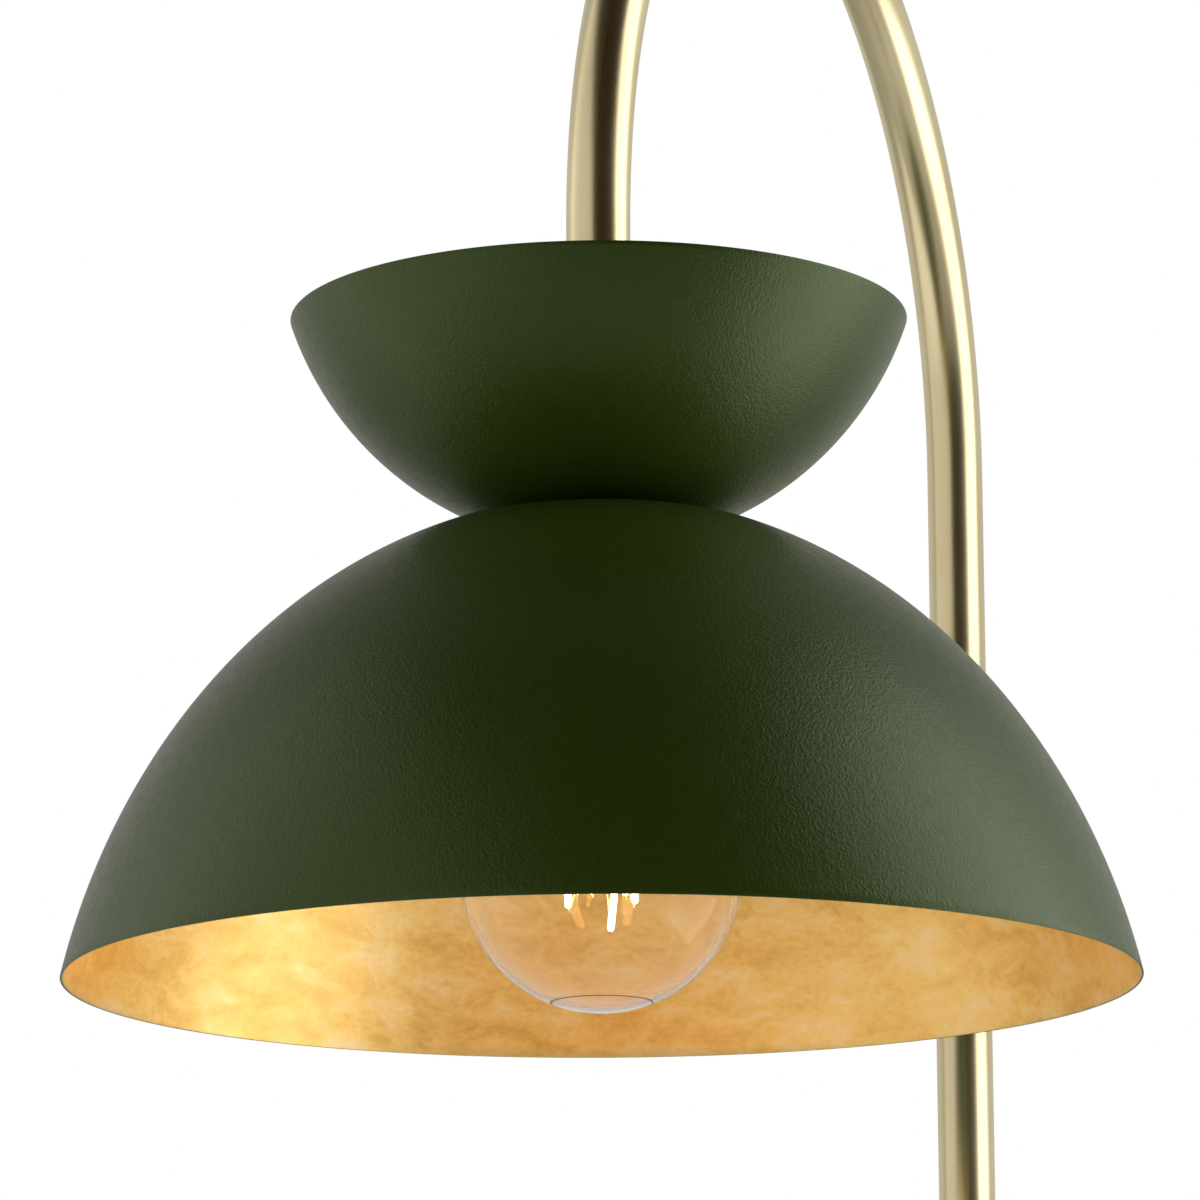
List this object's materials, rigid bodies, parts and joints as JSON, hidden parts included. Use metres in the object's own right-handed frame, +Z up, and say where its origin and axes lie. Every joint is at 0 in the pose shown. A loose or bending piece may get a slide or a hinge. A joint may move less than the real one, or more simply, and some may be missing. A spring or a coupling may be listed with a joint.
{
  "type": "adjustable arm floor lamp",
  "caption": "Floor lamp with an arched sliding arm that swivels, and a tilting head of a large open dome under a smaller bowl, with a clear globe bulb.",
  "frame": {"origin": "on the floor, at the axis of the pole", "axes": "+Z up along the pole, +X from the pole towards the head at rest, +Y to the left of the arm"},
  "size_m": [0.732, 0.36, 1.672],
  "materials": {
    "satin_brass": "satin brushed, lacquered",
    "plain_brass": "turned",
    "green_powder_coat": "matte powder coat",
    "gold_leaf": "gold leaf on the inside of both shades",
    "cast_weight": "as cast",
    "plain_steel": "zinc plated",
    "foot_rubber": "matte",
    "nylon": "natural",
    "black_plastic": "matte",
    "porcelain": "glazed",
    "clear_glass": "clear",
    "stem_glass": "clear",
    "nickel_cap": "nickel plated",
    "lit_filament": "glowing",
    "lead_sheath": "woven gold sheath"
  },
  "bodies": {
    "base": {"base_pad": "foot_rubber", "base_weight": "cast_weight", "base_cover": "satin_brass", "cord_gland": "black_plastic", "base_stem": "plain_steel", "stem_washer": "plain_steel", "stem_nut": "plain_steel", "terminal_block": "porcelain", "terminal_screws": "plain_steel", "lower_pole": "satin_brass", "pole_foot": "plain_steel", "pole_flange": "satin_brass", "guide_sleeve": "nylon", "pole_collar": "satin_brass", "coiled_lead": "lead_sheath", "base_lead": "lead_sheath"},
    "lock_pad": {"lock_pad": "nylon"},
    "lock_knob": {"lock_knob": "satin_brass"},
    "upper_pole": {"upper_pole": "satin_brass", "pole_slide": "nylon", "swivel_spigot": "plain_brass", "swivel_washer": "nylon", "pole_lead": "lead_sheath"},
    "arch": {"arch_arm": "satin_brass", "stop_screw": "plain_steel", "tilt_fork": "plain_brass", "arm_lead": "lead_sheath"},
    "head": {"tilt_tongue": "plain_brass", "pivot_screws": "plain_steel", "friction_washers": "nylon", "upper_bowl": "green_powder_coat", "dome_shade": "green_powder_coat", "shade_nipple": "plain_steel", "bowl_washer": "plain_steel", "dome_washer": "plain_steel", "nipple_nut": "plain_steel", "holder_cap": "satin_brass", "holder_skirt": "satin_brass", "holder_core": "porcelain", "holder_shell": "plain_brass", "holder_contact": "plain_brass", "bulb_glass": "clear_glass", "bulb_cap": "nickel_cap", "bulb_insulator": "black_plastic", "bulb_contact": "nickel_cap", "bulb_stem": "stem_glass", "bulb_filaments": "lit_filament", "bulb_wires": "nickel_cap", "head_lead": "lead_sheath"}
  },
  "joints": [
    {"name": "height_slide", "type": "slide", "parent": "base", "child": "upper_pole", "axis": [0, 0, 1], "range_m": [-0.2, 0.15], "deforming": ["coiled_lead"]},
    {"name": "arm_swivel", "type": "hinge", "parent": "upper_pole", "child": "arch", "pos_m": [0, 0, 1.12], "axis": [0, 0, 1], "range_deg": [-150, 150]},
    {"name": "head_tilt", "type": "hinge", "parent": "arch", "child": "head", "pos_m": [0.4, 0, 1.384], "axis": [0, 1, 0], "range_deg": [-35, 35]},
    {"name": "lock_travel", "type": "slide", "parent": "base", "child": "lock_pad", "axis": [-1, 0, 0], "range_m": [0, 0.0015]},
    {"name": "lock_turn", "type": "hinge", "parent": "lock_pad", "child": "lock_knob", "pos_m": [-0.0137, 0, 0.886], "axis": [-1, 0, 0], "range_deg": [0, 540]}
  ],
  "couplings": [
    {"joint": "lock_turn", "follows": "lock_travel", "rad_per_m": 6282.6}
  ]
}
